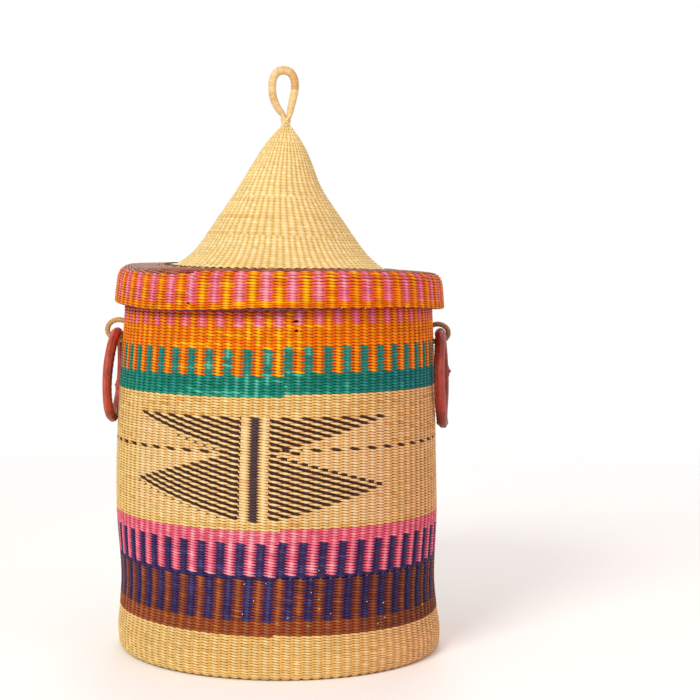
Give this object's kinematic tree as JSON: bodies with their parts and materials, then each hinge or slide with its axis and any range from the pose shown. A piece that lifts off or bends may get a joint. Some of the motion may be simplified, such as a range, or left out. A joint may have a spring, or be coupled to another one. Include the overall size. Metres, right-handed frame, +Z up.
{
  "type": "lidded laundry basket",
  "caption": "Tall round basket of twined elephant grass in dyed bands, with a cone-shaped lift-off lid, a loop on top and leather ring handles at the sides.",
  "frame": {"origin": "centre of the base's underside, on the floor", "axes": "+Z up through the lid; -Y is the front, with the patterned side; the ring handles hang at -X and +X"},
  "size_m": [0.4393, 0.4104, 0.7189],
  "materials": {
    "natural_grass": "matte woven grass",
    "wrapping_grass": "matte woven grass",
    "brown_grass": "matte woven grass",
    "brown_blue_grass": "matte woven grass",
    "blue_grass": "matte woven grass",
    "pink_blue_grass": "matte woven grass",
    "pink_grass": "matte woven grass",
    "teal_grass": "matte woven grass",
    "teal_orange_grass": "matte woven grass",
    "orange_grass": "matte woven grass",
    "pink_orange_grass": "matte woven grass",
    "dark_brown_grass": "matte woven grass",
    "black_brown_grass": "matte woven grass",
    "red_leather": "satin"
  },
  "bodies": {
    "basket": {"base_mat": "natural_grass", "wall_foot_natural": "natural_grass", "wall_brown": "brown_grass", "wall_brown_blue_columns": "brown_blue_grass", "wall_blue_line": "blue_grass", "wall_pink_blue_columns": "pink_blue_grass", "wall_pink": "pink_grass", "wall_natural_field": "natural_grass", "wall_teal": "teal_grass", "wall_teal_orange_columns": "teal_orange_grass", "wall_orange": "orange_grass", "wall_pink_orange_columns": "pink_orange_grass", "rim_binding": "natural_grass", "eyelet_left_core": "natural_grass", "eyelet_left_wrap": "wrapping_grass", "eyelet_right_core": "natural_grass", "eyelet_right_wrap": "wrapping_grass"},
    "lid": {"lid_skirt_edge": "orange_grass", "lid_rim_binding": "dark_brown_grass", "lid_skirt_columns": "pink_orange_grass", "lid_brown_ring": "dark_brown_grass", "lid_pale_row": "natural_grass", "lid_black_row": "black_brown_grass", "lid_cone_lower": "natural_grass", "lid_cone_upper": "natural_grass", "finial_loop_core": "natural_grass", "finial_loop_wrap": "wrapping_grass", "finial_neck_collar": "wrapping_grass"},
    "handle_left": {"handle_left_core": "natural_grass", "handle_left_leather": "red_leather", "handle_left_lap": "red_leather"},
    "handle_right": {"handle_right_core": "natural_grass", "handle_right_leather": "red_leather", "handle_right_lap": "red_leather"}
  },
  "joints": [
    {"name": "lid_lift", "type": "slide", "parent": "basket", "child": "lid", "axis": [0, 0, 1], "range_m": [0, 0.15]},
    {"name": "handle_left_swing", "type": "hinge", "parent": "basket", "child": "handle_left", "pos_m": [-0.20116, 0, 0.3907], "axis": [0.0224, 0.9997, 0], "range_deg": [0, 162]},
    {"name": "handle_right_swing", "type": "hinge", "parent": "basket", "child": "handle_right", "pos_m": [0.20205, 0, 0.3889], "axis": [-0.1587, -0.9873, 0], "range_deg": [0, 151]}
  ]
}
